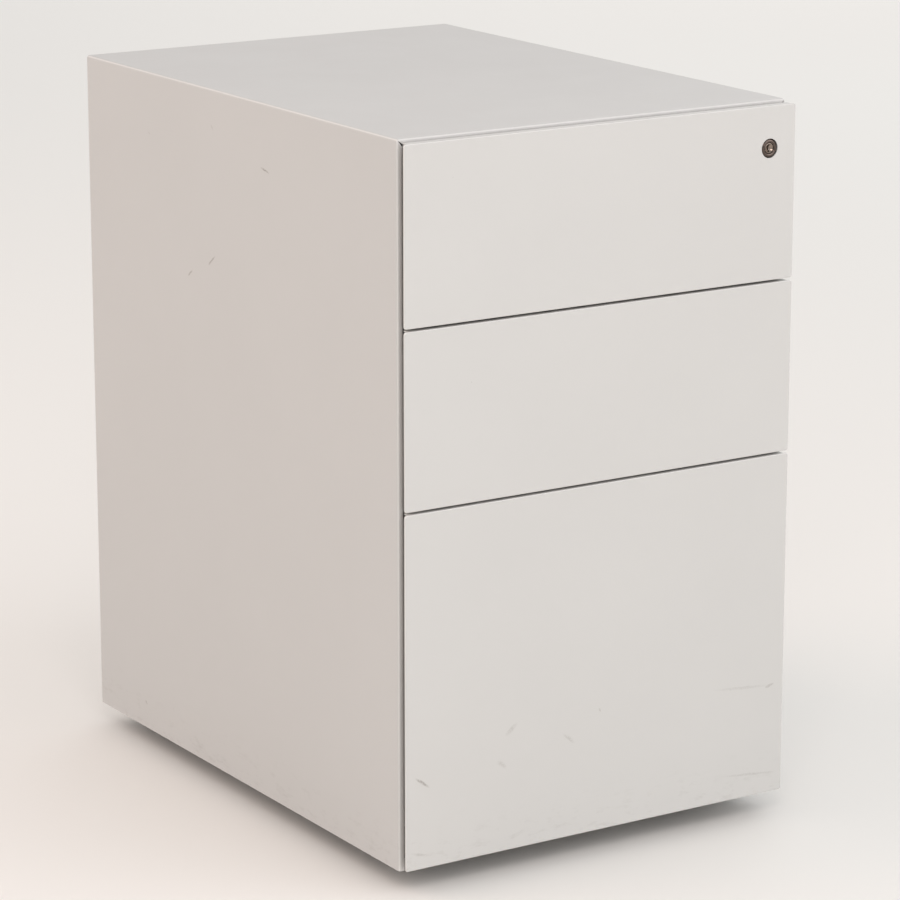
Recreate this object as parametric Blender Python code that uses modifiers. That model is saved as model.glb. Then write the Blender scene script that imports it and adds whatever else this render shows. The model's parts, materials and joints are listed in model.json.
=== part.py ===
"""A steel rolling pedestal cabinet: two box drawers and a file drawer behind flush overlay fronts,
one key lock for all three, and four castors hidden behind the side panels.

Metres, +Z up. The origin is on the floor under the middle of the cabinet. The drawer fronts face -Y.
"""

import math

import bmesh
import bpy
from mathutils import Matrix, Vector

# Overall sizes
WIDTH = 0.380
DEPTH = 0.543  # drawer face to back
PANEL_HEIGHT = 0.607
FLOOR_GAP = 0.019  # floor to the lower edge of the side panels
HEIGHT = FLOOR_GAP + PANEL_HEIGHT
FACE_Y = -DEPTH / 2
BACK_Y = DEPTH / 2
STANDOFF = 0.0126  # drawer face to the front edge of the carcass
CARCASS_Y = FACE_Y + STANDOFF

# Sheet metal
SHEET = 0.001
GAP = 0.0003  # between neighbouring pieces
BEND = 0.0016  # outer radius of the shell's folds
SMALL_BEND = 0.0015
FRONT_FLANGE = 0.007
FRONT_LIP = 0.012
MITRE_LENGTH = 0.008
MITRE_WIDTH = 0.0026
REAR_FLANGE = 0.012

# Drawer fronts
OVERHANG = 0.0012  # fronts stand this far outside the carcass on each side
SLOT = 0.0022  # between two fronts
TOP_DROP = 0.0025  # carcass top to the upper edge of the top front
BOTTOM_RISE = 0.0035  # side panel's lower edge to the file front's lower edge
FRONT_RETURN = 0.008
FRONT_CORNER = 0.003
FRONT_EDGE = 0.001
HEM_WIDTH = 0.0142
HEM_THICKNESS = 0.0016
LINER_DEPTH = 0.0098

# Drawer boxes and slides
BOX_HALF = 0.1652
BOX_DEPTH = 0.465
BOX_SHEET = 0.0009
SLIDE_HEIGHT = 0.044
SLIDE_SHEET = 0.0012
SLIDE_OUTER_X = 0.1784
SLIDE_FRONT_Y = CARCASS_Y + 0.007
SLIDE_LENGTH = 0.480
BOX_MEMBER_HEIGHT = 0.030
BOX_MEMBER_WIDTH = 0.008
RUNNER_OUTER_X = 0.1760
RUNNER_WIDTH = 0.0085
RUNNER_HEIGHT = 0.038
STUD_RADIUS = 0.003
STUD_TIP_X = 0.1765
STUD_PLAY = 0.001  # between a stud and the lock bar's tab when locked

# Lock
LOCK_X = 0.1648
LOCK_DROP = 0.0356  # below the upper edge of the top front
BARREL_RADIUS = 0.0079
BARREL_BORE = 0.0044
PLUG_RADIUS = 0.0041
LOCK_LIFT = 0.008  # travel of the lock bar
CAM_PIN_RADIUS = 0.0015
CAM_THROW = LOCK_LIFT / math.sqrt(2)  # pin's distance from the lock's axis, for a quarter turn
LOCK_PLATE_Y = CARCASS_Y + FRONT_LIP + 0.0006
NUT_THICKNESS = 0.004
CAM_THICKNESS = 0.0015
BAR_PLATE = 0.0015
BAR_WIDTH = 0.012
BAR_OUTER_X = 0.1830

# Base and castors
BASE_Z = 0.052  # underside of the base pan
BASE_FLANGE = 0.014
WHEEL_RADIUS = 0.020
WHEEL_WIDTH = 0.0135
WEB_HALF = 0.0042
AXLE_RADIUS = 0.003
CASTOR_TRAIL = 0.014
CASTOR_X = 0.130
CASTOR_FRONT_Y = -0.200
CASTOR_REAR_Y = 0.192
KINGPIN_RADIUS = 0.005
KINGPIN_END = 0.0385  # floor of the hub's bore
ROUND_STEPS = 24

# Each drawer: lower and upper edge of its front, height of its box's bottom and of its walls,
# height of its slides' centre line and of the stud that the lock bar catches
USABLE = PANEL_HEIGHT - TOP_DROP - BOTTOM_RISE - 2 * SLOT
SHALLOW_FRONT = 0.1475
FILE_FRONT = USABLE - 2 * SHALLOW_FRONT
FILE_LOW = FLOOR_GAP + BOTTOM_RISE
MIDDLE_LOW = FILE_LOW + FILE_FRONT + SLOT
TOP_LOW = MIDDLE_LOW + SHALLOW_FRONT + SLOT
DRAWERS = {
    "top": {
        "low": TOP_LOW,
        "high": TOP_LOW + SHALLOW_FRONT,
        "floor": 0.484,
        "wall": 0.082,
        "slide": 0.520,
        "stud": 0.559,
    },
    "middle": {
        "low": MIDDLE_LOW,
        "high": MIDDLE_LOW + SHALLOW_FRONT,
        "floor": 0.334,
        "wall": 0.110,
        "slide": 0.380,
        "stud": 0.437,
    },
    "file": {
        "low": FILE_LOW,
        "high": FILE_LOW + FILE_FRONT,
        "floor": 0.058,
        "wall": 0.240,
        "slide": 0.180,
        "stud": 0.280,
    },
}
LOCK_Z = DRAWERS["top"]["high"] - LOCK_DROP
SIDES = {"left": -1, "right": 1}

PAINT_TOP = (0.62, 0.62, 0.60)
PAINT_FRONT = (0.66, 0.64, 0.61)
PAINT_INSIDE = (0.58, 0.57, 0.55)
ZINC = (0.60, 0.61, 0.62)
DARK_NICKEL = (0.13, 0.11, 0.10)
BLACK_PLASTIC = (0.03, 0.03, 0.03)
TREAD_GREY = (0.10, 0.10, 0.10)
CAST_GREY = (0.20, 0.20, 0.21)

UNFOLDED = {
    "+X": Vector((1, 0, 0)),
    "-X": Vector((-1, 0, 0)),
    "+Y": Vector((0, 1, 0)),
    "-Y": Vector((0, -1, 0)),
    "+Z": Vector((0, 0, 1)),
    "-Z": Vector((0, 0, -1)),
}


# ---------------------------------------------------------------- scene and helpers


def clear_scene():
    for obj in list(bpy.data.objects):
        bpy.data.objects.remove(obj, do_unlink=True)


def new_collection(name):
    collection = bpy.data.collections.new(name)
    bpy.context.scene.collection.children.link(collection)
    return collection


def paint(name, colour, roughness, metallic=0.0):
    """A Principled material, made once for each name."""
    found = bpy.data.materials.get(name)
    if found:
        return found
    made = bpy.data.materials.new(name)
    made.use_nodes = True
    shader = made.node_tree.nodes["Principled BSDF"]
    shader.inputs["Base Color"].default_value = (*colour, 1.0)
    shader.inputs["Roughness"].default_value = roughness
    shader.inputs["Metallic"].default_value = metallic
    return made


def shell_paint():
    return paint("shell_paint", PAINT_TOP, 0.45)


def front_paint():
    return paint("front_paint", PAINT_FRONT, 0.45)


def inner_paint():
    return paint("inner_paint", PAINT_INSIDE, 0.5)


def zinc_steel():
    return paint("zinc_steel", ZINC, 0.35, 1.0)


def lock_metal():
    return paint("lock_metal", DARK_NICKEL, 0.25, 1.0)


def castor_plastic():
    return paint("castor_plastic", BLACK_PLASTIC, 0.45)


def wheel_tread():
    return paint("wheel_tread", TREAD_GREY, 0.6)


def cast_iron():
    return paint("cast_iron", CAST_GREY, 0.7)


def pivot(name, location):
    """An empty that carries one moving body, on its joint's axis."""
    empty = bpy.data.objects.new(name, None)
    empty.location = location
    empty.empty_display_size = 0.02
    parts.objects.link(empty)
    return empty


def finish_mesh(name, bm, centre, material, parent=None, smooth=True):
    """Turns the bmesh, drawn in world space, into an object whose origin is at centre."""
    bmesh.ops.translate(bm, verts=bm.verts, vec=-Vector(centre))
    mesh = bpy.data.meshes.new(name)
    bm.to_mesh(mesh)
    bm.free()
    obj = bpy.data.objects.new(name, mesh)
    obj.location = centre
    if material is None:
        cutters.objects.link(obj)
        obj.hide_render = True
        obj.display_type = "WIRE"
        return obj
    parts.objects.link(obj)
    mesh.materials.append(material)
    if smooth:
        mesh.shade_smooth()
        mesh.set_sharp_from_angle(angle=math.radians(40))
    if parent:
        obj.parent = parent
        obj.matrix_parent_inverse = Matrix.Translation(-parent.location)
    return obj


def box_mesh(low, high):
    bm = bmesh.new()
    low, high = Vector(low), Vector(high)
    middle = (low + high) / 2
    placed = Matrix.Translation(middle) @ Matrix.Diagonal((*(high - low), 1.0))
    bmesh.ops.create_cube(bm, size=1.0, matrix=placed)
    return bm, middle


def block(name, low, high, material=None, parent=None, corner=0.0):
    """A solid box. With no material it is a cutter."""
    bm, middle = box_mesh(low, high)
    obj = finish_mesh(name, bm, middle, material, parent, smooth=False)
    if corner:
        add_bevel(obj, corner, 2)
    return obj


def rod(name, start, end, radius, material=None, parent=None, steps=ROUND_STEPS):
    """A solid cylinder between two points. With no material it is a cutter."""
    start, end = Vector(start), Vector(end)
    along = end - start
    turned = along.to_track_quat("Z", "Y").to_matrix().to_4x4()
    bm = bmesh.new()
    bmesh.ops.create_cone(
        bm,
        cap_ends=True,
        segments=steps,
        radius1=radius,
        radius2=radius,
        depth=along.length,
        matrix=Matrix.Translation((start + end) / 2) @ turned,
    )
    return finish_mesh(name, bm, (start + end) / 2, material, parent)


def add_bevel(obj, width, segments):
    bevel = obj.modifiers.new("bend", "BEVEL")
    bevel.width = width
    bevel.segments = segments
    bevel.limit_method = "ANGLE"
    bevel.angle_limit = math.radians(40)


def add_solidify(obj, thickness):
    sheet = obj.modifiers.new("sheet", "SOLIDIFY")
    sheet.thickness = thickness
    sheet.offset = -1.0
    sheet.use_even_offset = True


def folded_sheet(name, low, high, open_sides, material, parent=None, thickness=SHEET, bend=SMALL_BEND):
    """Sheet metal folded round the box from low to high, which lacks its open sides."""
    bm, middle = box_mesh(low, high)
    gone = [f for f in bm.faces if any(f.normal.dot(UNFOLDED[side]) > 0.9 for side in open_sides)]
    bmesh.ops.delete(bm, geom=gone, context="FACES")
    obj = finish_mesh(name, bm, middle, material, parent)
    add_bevel(obj, bend, 2)
    add_solidify(obj, thickness)
    return obj


def turned(name, profile, location, axis, material, parent=None, steps=ROUND_STEPS):
    """Turns (radius, height) points, listed down the outer side and back up the bore, about the axis."""
    mesh = bpy.data.meshes.new(name)
    count = len(profile)
    edges = [(i, (i + 1) % count) for i in range(count)]
    if profile[0][0] == 0 and profile[-1][0] == 0:
        edges.pop()
    mesh.from_pydata([(radius, 0, height) for radius, height in profile], edges, [])
    obj = bpy.data.objects.new(name, mesh)
    obj.location = location
    obj.rotation_mode = "QUATERNION"
    obj.rotation_quaternion = Vector(axis).to_track_quat("Z", "Y")
    parts.objects.link(obj)
    mesh.materials.append(material)
    screw = obj.modifiers.new("turn", "SCREW")
    screw.steps = steps
    screw.render_steps = steps
    screw.use_merge_vertices = True
    screw.merge_threshold = 0.00001
    screw.use_smooth_shade = True
    if parent:
        obj.parent = parent
        obj.matrix_parent_inverse = Matrix.Translation(-parent.location)
    return obj


def combine(obj, other, operation):
    boolean = obj.modifiers.new(operation.lower(), "BOOLEAN")
    boolean.operation = operation
    boolean.object = other


def cut(obj, *others):
    for other in others:
        combine(obj, other, "DIFFERENCE")


def join(obj, *others):
    for other in others:
        combine(obj, other, "UNION")


# ---------------------------------------------------------------- carcass


def fold_edges(bm, edges, shift):
    """Extrudes these boundary edges and moves the new points by shift(point). Returns the new rim."""
    made = bmesh.ops.extrude_edge_only(bm, edges=edges)["geom"]
    points = {v for v in made if isinstance(v, bmesh.types.BMVert)}
    for point in points:
        point.co += shift(point.co)
    new_edges = [e for e in made if isinstance(e, bmesh.types.BMEdge)]
    return [e for e in new_edges if e.verts[0] in points and e.verts[1] in points]


def rim_at(bm, y):
    """The boundary edges in the plane at this y."""
    return [e for e in bm.edges if e.is_boundary and all(abs(v.co.y - y) < 1e-6 for v in e.verts)]


def outer_shell():
    """Top and both sides, folded from one sheet, with a flange and a lip round the opening."""
    bm, middle = box_mesh((-WIDTH / 2, CARCASS_Y, FLOOR_GAP), (WIDTH / 2, BACK_Y, HEIGHT))
    gone = [f for f in bm.faces if abs(f.normal.y) > 0.9 or f.normal.z < -0.9]
    bmesh.ops.delete(bm, geom=gone, context="FACES")

    def inward(width):
        def shift(point):
            down = -width if point.z > middle.z else 0.0
            return Vector((-math.copysign(width, point.x), 0.0, down))

        return shift

    flange = fold_edges(bm, rim_at(bm, CARCASS_Y), inward(FRONT_FLANGE))
    fold_edges(bm, flange, lambda point: Vector((0.0, FRONT_LIP, 0.0)))
    fold_edges(bm, rim_at(bm, BACK_Y), inward(REAR_FLANGE))
    bmesh.ops.recalc_face_normals(bm, faces=bm.faces)
    obj = finish_mesh("outer_shell", bm, middle, shell_paint())
    add_bevel(obj, BEND, 3)
    add_solidify(obj, SHEET)
    for side, sign in SIDES.items():
        cut(obj, mitre_notch(side, sign))


def mitre_notch(side, sign):
    """A wedge between the flanges of the top and of one side, pointing at the shell's corner."""
    outward = Vector((sign, 0, 1)).normalized()
    along = Vector((0, 1, 0))
    across = outward.cross(along)
    tip = Vector((sign * (WIDTH / 2 - SHEET), CARCASS_Y + FRONT_LIP / 2, HEIGHT - SHEET))
    centre = tip - outward * MITRE_LENGTH * 2 / 3
    # a three-sided cone of radius 1 points along its own +Y, is 1.5 long and is sqrt(3) wide
    sizes = (across * MITRE_WIDTH / math.sqrt(3), outward * MITRE_LENGTH / 1.5, along)
    turn = Matrix(sizes).transposed().to_4x4()
    bm = bmesh.new()
    bmesh.ops.create_cone(
        bm,
        cap_ends=True,
        segments=3,
        radius1=1.0,
        radius2=1.0,
        depth=FRONT_LIP + 0.002,
        matrix=Matrix.Translation(centre) @ turn,
    )
    return finish_mesh(f"cut_mitre_{side}", bm, centre, None)


def back_panel():
    inset = SHEET + 0.0004
    folded_sheet(
        "back_panel",
        (-WIDTH / 2 + inset, BACK_Y - SHEET - GAP - REAR_FLANGE, FLOOR_GAP + 0.001),
        (WIDTH / 2 - inset, BACK_Y - SHEET - GAP, HEIGHT - inset),
        ("-Y",),
        shell_paint(),
    )


def base_pan():
    """The floor of the carcass: flanges up at the sides and back, and an open front edge."""
    inset = SHEET + 0.0004
    folded_sheet(
        "base_pan",
        (-WIDTH / 2 + inset, CARCASS_Y + FRONT_LIP + 0.0006, BASE_Z),
        (WIDTH / 2 - inset, BACK_Y - SHEET - REAR_FLANGE - 0.0007, BASE_Z + BASE_FLANGE),
        ("+Z", "-Y"),
        inner_paint(),
    )


def uprights():
    """Four channels, open towards the side panels, which carry the slides."""
    depth = 0.010
    low_z = BASE_Z + BASE_FLANGE + 0.0005
    high_z = HEIGHT - 0.006
    spans = {"front": (LOCK_PLATE_Y + 0.030, LOCK_PLATE_Y + 0.058), "rear": (0.196, 0.224)}
    for end, (low_y, high_y) in spans.items():
        for side, sign in SIDES.items():
            outer = sign * (WIDTH / 2 - SHEET - GAP)
            inner = outer - sign * depth
            folded_sheet(
                f"upright_{end}_{side}",
                (min(outer, inner), low_y, low_z),
                (max(outer, inner), high_y, high_z),
                ("+X" if sign > 0 else "-X", "+Z", "-Z"),
                zinc_steel(),
            )


def channel(name, side, outer, width, height, centre_z, y_span, open_side, parent=None):
    """A slide member: a C channel along Y, its web at the side away from open_side."""
    sign = SIDES[side]
    near, far = sign * outer, sign * (outer - width)
    folded_sheet(
        name,
        (min(near, far), y_span[0], centre_z - height / 2),
        (max(near, far), y_span[1], centre_z + height / 2),
        (open_side, "+Y", "-Y"),
        zinc_steel(),
        parent,
        thickness=SLIDE_SHEET,
        bend=SLIDE_SHEET,
    )


def inward_side(side):
    return "-X" if side == "right" else "+X"


def outward_side(side):
    return "+X" if side == "right" else "-X"


def cabinet_slides():
    for drawer, sizes in DRAWERS.items():
        for side in SIDES:
            channel(
                f"cabinet_slide_{drawer}_{side}",
                side,
                SLIDE_OUTER_X,
                0.0102,
                SLIDE_HEIGHT,
                sizes["slide"],
                (SLIDE_FRONT_Y, SLIDE_FRONT_Y + SLIDE_LENGTH),
                inward_side(side),
            )


def counterweight():
    """A cast block low at the back, which keeps the cabinet steady with a drawer out."""
    block("counterweight", (-0.150, 0.214, 0.0545), (0.150, 0.2555, 0.130), cast_iron(), corner=0.002)


# ---------------------------------------------------------------- drawers


def front_skin(drawer, sizes, parent):
    """The visible front: a flat hem at each side, and between the hems a return above and below."""
    half = WIDTH / 2 + OVERHANG
    low, high = sizes["low"], sizes["high"]
    bm, middle = box_mesh((-half, FACE_Y, low), (half, FACE_Y + FRONT_RETURN, high))
    corners = [e for e in bm.edges if abs(e.verts[0].co.y - e.verts[1].co.y) > FRONT_RETURN / 2]
    bmesh.ops.bevel(bm, geom=corners, offset=FRONT_CORNER, segments=4, profile=0.5, affect="EDGES")
    face_rim = [e for e in bm.edges if all(v.co.y < FACE_Y + 1e-6 for v in e.verts)]
    bmesh.ops.bevel(bm, geom=face_rim, offset=FRONT_EDGE, segments=3, profile=0.5, affect="EDGES")
    obj = finish_mesh(f"{drawer}_front_skin", bm, middle, front_paint(), parent)
    reach = FACE_Y + FRONT_RETURN + 0.002
    inner = half - HEM_WIDTH
    pocket = block(
        f"cut_{drawer}_pocket",
        (-inner, FACE_Y + SHEET, low + SHEET),
        (inner, reach, high - SHEET),
    )
    cut(obj, pocket)
    for side, sign in SIDES.items():
        ends = sorted((sign * (inner - 0.001), sign * (half + 0.002)))
        relief = block(
            f"cut_{drawer}_hem_{side}",
            (ends[0], FACE_Y + HEM_THICKNESS, low - 0.001),
            (ends[1], reach, high + 0.001),
        )
        cut(obj, relief)
    return obj


def front_liner(drawer, sizes, parent):
    """A pan behind the skin that makes the front a stiff box."""
    half = WIDTH / 2 + OVERHANG - HEM_WIDTH - 0.001
    edge = SHEET + 0.0005
    low_y = FACE_Y + SHEET + GAP
    return folded_sheet(
        f"{drawer}_front_liner",
        (-half, low_y, sizes["low"] + edge),
        (half, low_y + LINER_DEPTH, sizes["high"] - edge),
        ("-Y",),
        inner_paint(),
        parent,
    )


def box_front_y():
    """Front of the drawer boxes, just behind the liners."""
    return FACE_Y + SHEET + GAP + LINER_DEPTH + GAP


def drawer_box(drawer, sizes, parent):
    """An open steel tray with the lock stud on its right side."""
    front = box_front_y()
    obj = folded_sheet(
        f"{drawer}_drawer_box",
        (-BOX_HALF, front, sizes["floor"]),
        (BOX_HALF, front + BOX_DEPTH, sizes["floor"] + sizes["wall"]),
        ("+Z",),
        inner_paint(),
        parent,
        thickness=BOX_SHEET,
    )
    stud_y = bar_y() + BAR_PLATE + STUD_PLAY + STUD_RADIUS
    start = (BOX_HALF - BOX_SHEET / 2, stud_y, sizes["stud"])
    end = (STUD_TIP_X, stud_y, sizes["stud"])
    stud = rod(f"add_{drawer}_stud", start, end, STUD_RADIUS, steps=12)
    join(obj, stud)
    return obj


def drawer_slides(drawer, sizes, parent):
    y_span = (box_front_y() + 0.001, box_front_y() + 0.456)
    for side in SIDES:
        outer = BOX_HALF + GAP + BOX_MEMBER_WIDTH
        channel(
            f"{drawer}_drawer_slide_{side}",
            side,
            outer,
            BOX_MEMBER_WIDTH,
            BOX_MEMBER_HEIGHT,
            sizes["slide"],
            y_span,
            outward_side(side),
            parent,
        )


def file_runners():
    """The middle members of the file drawer's full extension slides, each a body of its own."""
    for side, sign in SIDES.items():
        height = DRAWERS["file"]["slide"]
        carrier = pivot(f"file_runner_{side}_body", (sign * RUNNER_OUTER_X, SLIDE_FRONT_Y, height))
        channel(
            f"file_runner_{side}",
            side,
            RUNNER_OUTER_X,
            RUNNER_WIDTH,
            RUNNER_HEIGHT,
            height,
            (SLIDE_FRONT_Y, SLIDE_FRONT_Y + SLIDE_LENGTH - 0.004),
            inward_side(side),
            carrier,
        )


def hanging_rails(parent):
    """Channels clipped over the file drawer's side walls, on which hanging files ride."""
    top = DRAWERS["file"]["floor"] + DRAWERS["file"]["wall"]
    for side, sign in SIDES.items():
        middle = sign * (BOX_HALF - BOX_SHEET / 2)
        folded_sheet(
            f"hanging_rail_{side}",
            (middle - 0.0022, box_front_y() + 0.004, top - 0.009),
            (middle + 0.0022, box_front_y() + BOX_DEPTH - 0.004, top + 0.0014),
            ("-Z", "+Y", "-Y"),
            zinc_steel(),
            parent,
            thickness=SHEET,
            bend=SHEET,
        )


def drawers():
    for drawer, sizes in DRAWERS.items():
        body = pivot(f"{drawer}_drawer_body", (0, FACE_Y, sizes["low"]))
        skin = front_skin(drawer, sizes, body)
        liner = front_liner(drawer, sizes, body)
        drawer_box(drawer, sizes, body)
        drawer_slides(drawer, sizes, body)
        if drawer == "top":
            reach_y = (FACE_Y - 0.003, box_front_y() + 0.003)
            for piece, gap in ((skin, 0.0007), (liner, 0.0012)):
                start, end = ((LOCK_X, y, LOCK_Z) for y in reach_y)
                hole = rod(f"cut_lock_hole_{piece.name}", start, end, BARREL_RADIUS + gap, steps=32)
                cut(piece, hole)
        if drawer == "file":
            hanging_rails(body)


# ---------------------------------------------------------------- lock


def barrel_end_y():
    """Rear end of the lock's barrel, behind its nut."""
    return LOCK_PLATE_Y + SHEET + GAP + NUT_THICKNESS + 0.004


def bar_y():
    """Front face of the lock bar's arm and tabs."""
    return barrel_end_y() + 0.001 + CAM_THICKNESS + 0.003


def lock_bracket():
    """A plate hung under the top, which holds the barrel."""
    obj = folded_sheet(
        "lock_bracket",
        (0.140, LOCK_PLATE_Y, 0.574),
        (0.181, LOCK_PLATE_Y + 0.024, HEIGHT - SHEET - 0.0004),
        ("+Y", "+X", "-X", "-Z"),
        zinc_steel(),
    )
    start = (LOCK_X, LOCK_PLATE_Y - 0.002, LOCK_Z)
    end = (LOCK_X, LOCK_PLATE_Y + 0.004, LOCK_Z)
    cut(obj, rod("cut_bracket_hole", start, end, BARREL_RADIUS + GAP))


def lock_barrel():
    """The fixed cylinder, with a domed rim and a shoulder that sits on the bracket."""
    front = FACE_Y
    length = barrel_end_y() - front
    shoulder = LOCK_PLATE_Y - GAP - front
    rim = BARREL_RADIUS
    profile = [
        (BARREL_BORE, 0.0),
        (BARREL_BORE, -length),
        (rim, -length),
        (rim, -shoulder),
        (rim + 0.0015, -shoulder),
        (rim + 0.0015, -shoulder + 0.0025),
        (rim, -shoulder + 0.0025),
        (rim, -0.0012),
        (rim - 0.0005, -0.0004),
        (rim - 0.0015, 0.0),
        (BARREL_BORE + 0.0012, -0.0002),
    ]
    profile.reverse()
    turned("lock_barrel", profile, (LOCK_X, front, LOCK_Z), (0, -1, 0), lock_metal())


def lock_nut():
    front = LOCK_PLATE_Y + SHEET + GAP
    start = (LOCK_X, front, LOCK_Z)
    end = (LOCK_X, front + NUT_THICKNESS, LOCK_Z)
    nut = rod("lock_nut", start, end, 0.0125, zinc_steel(), steps=6)
    through = rod(
        "cut_nut_bore",
        (LOCK_X, front - 0.001, LOCK_Z),
        (LOCK_X, front + NUT_THICKNESS + 0.001, LOCK_Z),
        BARREL_RADIUS + GAP,
    )
    cut(nut, through)


def lock_plug(parent):
    """The part that the key turns, with its keyway."""
    front = FACE_Y + 0.0015
    back = barrel_end_y() + 0.0007
    start, end = (LOCK_X, front, LOCK_Z), (LOCK_X, back, LOCK_Z)
    plug = rod("lock_plug", start, end, PLUG_RADIUS, lock_metal(), parent)
    keyway = block(
        "cut_keyway",
        (LOCK_X - 0.0006, front - 0.001, LOCK_Z - 0.0030),
        (LOCK_X + 0.0006, front + 0.018, LOCK_Z + 0.0030),
    )
    cut(plug, keyway)


def pin_place():
    """The cam's pin at rest, to the right of the lock's axis and below it."""
    reach = CAM_THROW / math.sqrt(2)
    return LOCK_X + reach, LOCK_Z - reach


def lock_cam(parent):
    front = barrel_end_y() + 0.001
    pin_x, pin_z = pin_place()
    disc = rod(
        "lock_cam",
        (LOCK_X, front, LOCK_Z),
        (LOCK_X, front + CAM_THICKNESS, LOCK_Z),
        0.008,
        zinc_steel(),
        parent,
    )
    pin = rod(
        "add_cam_pin",
        (pin_x, front + CAM_THICKNESS / 2, pin_z),
        (pin_x, bar_y() + BAR_PLATE + 0.003, pin_z),
        CAM_PIN_RADIUS,
        steps=12,
    )
    join(disc, pin)


def lock_bar():
    """A flat bar up the right side: an arm with a slot for the cam's pin, and a tab for each drawer."""
    pin_x, pin_z = pin_place()
    carrier = pivot("lock_bar_body", (BAR_OUTER_X, bar_y(), LOCK_Z))
    inner = BAR_OUTER_X - BAR_PLATE
    top = pin_z + 0.007
    bar = block(
        "lock_bar",
        (inner, bar_y() + 0.0005, 0.070),
        (BAR_OUTER_X, bar_y() + BAR_WIDTH, top + 0.003),
        zinc_steel(),
        carrier,
    )
    arm = block(
        "add_bar_arm",
        (LOCK_X - 0.006, bar_y(), pin_z - 0.007),
        (inner + BAR_PLATE / 2, bar_y() + BAR_PLATE, top),
    )
    join(bar, arm)
    for drawer, sizes in DRAWERS.items():
        tab_top = sizes["stud"] - STUD_RADIUS - 0.0015
        tab = block(
            f"add_bar_tab_{drawer}",
            (0.170, bar_y(), tab_top - 0.008),
            (inner + BAR_PLATE / 2, bar_y() + BAR_PLATE, tab_top),
        )
        join(bar, tab)
    slack = 0.0004
    slot = block(
        "cut_bar_slot",
        (LOCK_X + 0.0018, bar_y() - 0.001, pin_z - CAM_PIN_RADIUS - slack),
        (LOCK_X + CAM_THROW + 0.0022, bar_y() + BAR_PLATE + 0.001, pin_z + CAM_PIN_RADIUS + slack),
    )
    cut(bar, slot)


def lock_bar_guide():
    """A saddle on the side panel that keeps the lock bar upright."""
    folded_sheet(
        "lock_bar_guide",
        (BAR_OUTER_X - BAR_PLATE - GAP - SHEET, bar_y() - 0.002, 0.462),
        (WIDTH / 2 - SHEET - GAP, bar_y() + BAR_WIDTH + 0.002, 0.474),
        ("+X", "+Z", "-Z"),
        zinc_steel(),
    )


def lock():
    lock_bracket()
    lock_barrel()
    lock_nut()
    body = pivot("lock_plug_body", (LOCK_X, FACE_Y, LOCK_Z))
    lock_plug(body)
    lock_cam(body)
    lock_bar()
    lock_bar_guide()


# ---------------------------------------------------------------- castors


def castor_plate(name, x, y):
    """Mounting plate and kingpin."""
    top = BASE_Z - GAP
    thickness = 0.0025
    half = 0.021
    plate = block(
        f"castor_plate_{name}",
        (x - half, y - half, top - thickness),
        (x + half, y + half, top),
        zinc_steel(),
    )
    start, end = (x, y, top - thickness / 2), (x, y, KINGPIN_END + 0.001)
    join(plate, rod(f"add_kingpin_{name}", start, end, KINGPIN_RADIUS, steps=16))


def castor_hood(name, x, y, parent):
    """A hood over both wheels with a web between them and a hub round the kingpin."""
    wheel_y = y + CASTOR_TRAIL
    half = 0.0195
    outer = WHEEL_RADIUS + 0.0038
    clear = WHEEL_RADIUS + 0.0014
    axis_z = WHEEL_RADIUS
    hub_top = BASE_Z - GAP - 0.0025 - 0.0005
    hood = rod(
        f"castor_hood_{name}",
        (x - half, wheel_y, axis_z),
        (x + half, wheel_y, axis_z),
        outer,
        castor_plastic(),
        parent,
    )
    join(hood, rod(f"add_hub_{name}", (x, y, 0.030), (x, y, hub_top), 0.012))
    below = axis_z - 0.006
    cut(hood, block(f"cut_below_{name}", (x - 0.03, y - 0.03, -0.01), (x + 0.03, y + 0.05, below)))
    for side, sign in SIDES.items():
        start = (x + sign * WEB_HALF, wheel_y, axis_z)
        end = (x + sign * (half + 0.002), wheel_y, axis_z)
        cut(hood, rod(f"cut_wheel_well_{name}_{side}", start, end, clear, steps=32))
    start, end = (x, y, KINGPIN_END), (x, y, hub_top + 0.002)
    cut(hood, rod(f"cut_kingpin_{name}", start, end, KINGPIN_RADIUS + GAP, steps=16))
    start, end = (x - half, wheel_y, axis_z), (x + half, wheel_y, axis_z)
    cut(hood, rod(f"cut_axle_{name}", start, end, AXLE_RADIUS + GAP, steps=16))


def castor_wheel(name, side, x, y, parent):
    """One wheel of the pair: rounded tread, recessed outer face and a bore for the axle."""
    sign = SIDES[side]
    inner = WEB_HALF + 0.0006
    width = WHEEL_WIDTH
    bore = AXLE_RADIUS + GAP
    profile = [
        (bore, width - 0.002),
        (0.0070, width - 0.002),
        (0.0075, width - 0.004),
        (0.0150, width - 0.004),
        (0.0160, width),
        (WHEEL_RADIUS - 0.001, width),
        (WHEEL_RADIUS, width - 0.0015),
        (WHEEL_RADIUS, 0.001),
        (WHEEL_RADIUS - 0.001, 0.0),
        (bore, 0.0),
    ]
    turned(
        f"castor_wheel_{name}_{side}",
        profile,
        (x + sign * inner, y + CASTOR_TRAIL, WHEEL_RADIUS),
        (sign, 0, 0),
        wheel_tread(),
        parent,
    )


def castors():
    for end, y in (("front", CASTOR_FRONT_Y), ("rear", CASTOR_REAR_Y)):
        for side, sign in SIDES.items():
            name = f"{end}_{side}"
            x = sign * CASTOR_X
            castor_plate(name, x, y)
            swivel = pivot(f"castor_swivel_{name}", (x, y, WHEEL_RADIUS))
            castor_hood(name, x, y, swivel)
            wheel_y = y + CASTOR_TRAIL
            start = (x - 0.0165, wheel_y, WHEEL_RADIUS)
            end_point = (x + 0.0165, wheel_y, WHEEL_RADIUS)
            rod(f"castor_axle_{name}", start, end_point, AXLE_RADIUS, zinc_steel(), swivel, steps=16)
            spin = pivot(f"castor_spin_{name}", (x, wheel_y, WHEEL_RADIUS))
            for wheel in SIDES:
                castor_wheel(name, wheel, x, y, spin)


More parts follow.
